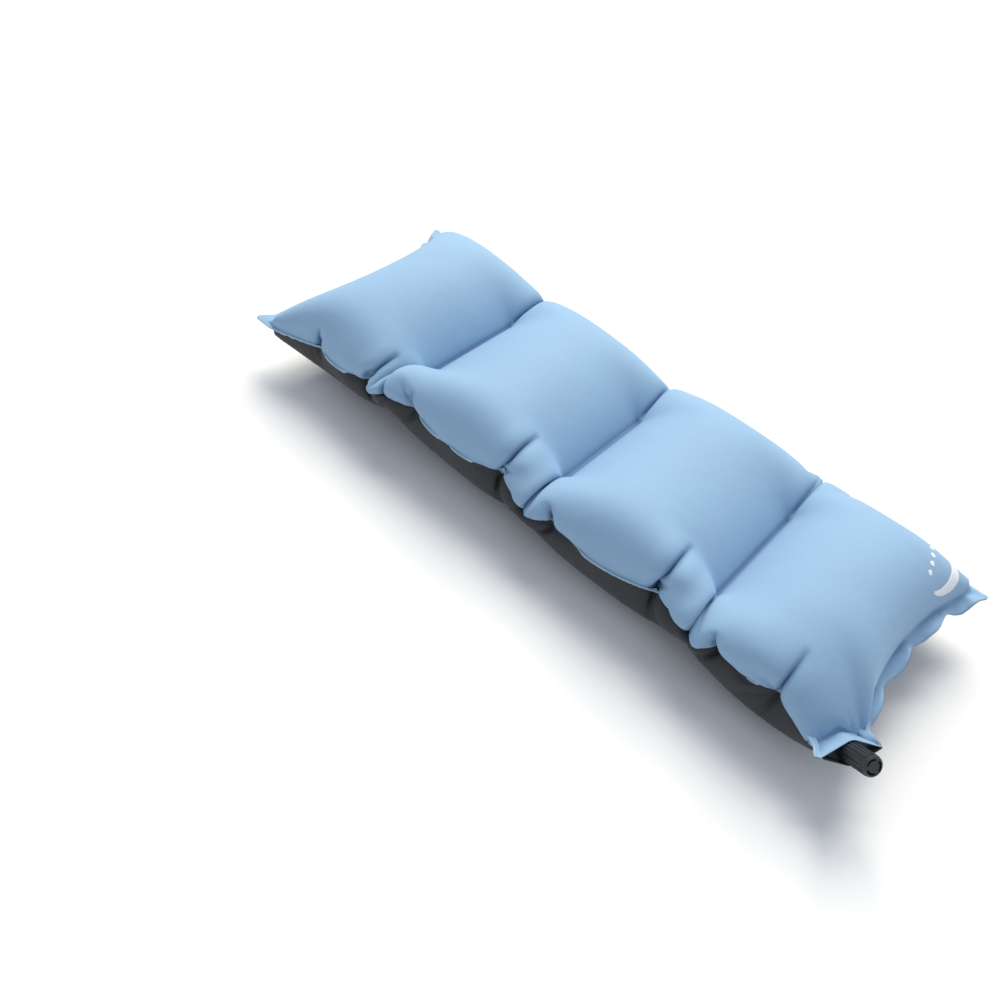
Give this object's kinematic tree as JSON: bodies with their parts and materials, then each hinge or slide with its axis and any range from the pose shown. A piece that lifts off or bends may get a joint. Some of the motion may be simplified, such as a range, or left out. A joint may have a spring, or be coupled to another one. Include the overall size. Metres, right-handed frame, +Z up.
{
  "type": "camp pillow",
  "caption": "Long self-inflating camp pillow of two welded fabric sheets with foam-filled chambers and a twist valve at one corner.",
  "frame": {"origin": "under the middle of the pillow, on the surface that it rests on", "axes": "+X along the pillow towards the valve end, +Y across it away from the valve's long side, +Z up through the light top sheet"},
  "size_m": [0.572, 0.214, 0.09],
  "materials": {
    "top_fabric": "matte",
    "bottom_fabric": "matte",
    "print": "matte",
    "foam": "matte",
    "valve_plastic": "satin",
    "seal_rubber": "matte"
  },
  "bodies": {
    "root": {"top_cover": "top_fabric", "bottom_cover": "bottom_fabric", "foam_block_1": "foam", "foam_block_2": "foam", "foam_block_3": "foam", "foam_block_4": "foam", "valve_stem": "valve_plastic", "stem_o_ring": "seal_rubber"},
    "seal": {"seal_disc": "seal_rubber"},
    "cap": {"valve_cap": "valve_plastic"}
  },
  "joints": [
    {"name": "cap_lift", "type": "slide", "parent": "root", "child": "seal", "axis": [0.6275, -0.4394, 0.6428], "range_m": [0, 0.004]},
    {"name": "cap_turn", "type": "hinge", "parent": "seal", "child": "cap", "pos_m": [0.269, -0.09, 0.046], "axis": [0.6275, -0.4394, 0.6428], "range_deg": [0, 360]}
  ],
  "couplings": [
    {"joint": "cap_turn", "follows": "cap_lift", "rad_per_m": 1570.8}
  ]
}
